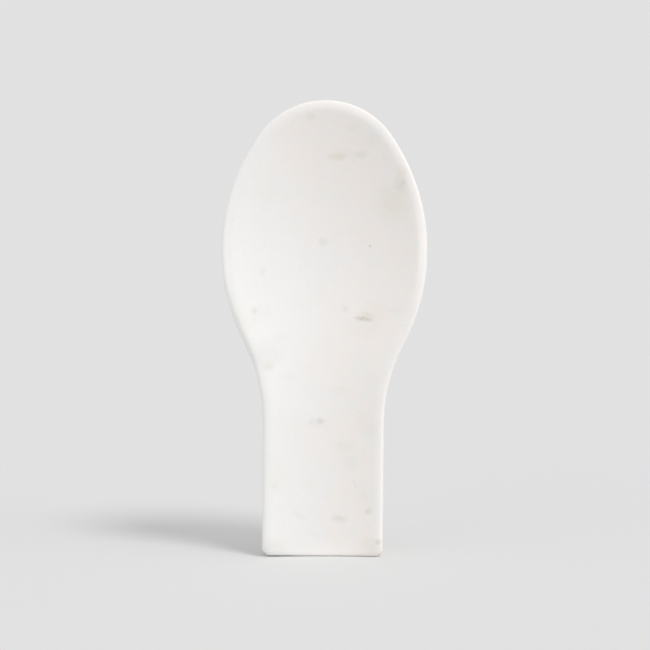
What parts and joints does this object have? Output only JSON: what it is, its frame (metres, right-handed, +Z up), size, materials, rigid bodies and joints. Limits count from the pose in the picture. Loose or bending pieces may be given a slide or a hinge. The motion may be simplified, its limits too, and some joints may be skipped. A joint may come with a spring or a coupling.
{
  "type": "spoon rest",
  "caption": "Carved white marble spoon rest: an oval dish that runs on as an open trough down a broad, square-ended handle, with stick-on bumpers under its flat underside.",
  "frame": {"origin": "centre of the handle's flat end, half way between the rim and the underside of the stone", "axes": "+Z up the length from the handle's end to the tip of the bowl, +Y out of the flat underside, +X to the right for someone who looks into the bowl"},
  "size_m": [0.102, 0.0217, 0.229],
  "materials": {
    "marble": "honed",
    "bumper": "clear, satin",
    "adhesive": "matte film"
  },
  "bodies": {
    "root": {"marble_body": "marble", "adhesive_bowl_left": "adhesive", "adhesive_bowl_right": "adhesive", "adhesive_handle_left": "adhesive", "adhesive_handle_right": "adhesive", "bumper_bowl_left": "bumper", "bumper_bowl_right": "bumper", "bumper_handle_left": "bumper", "bumper_handle_right": "bumper"}
  },
  "joints": []
}
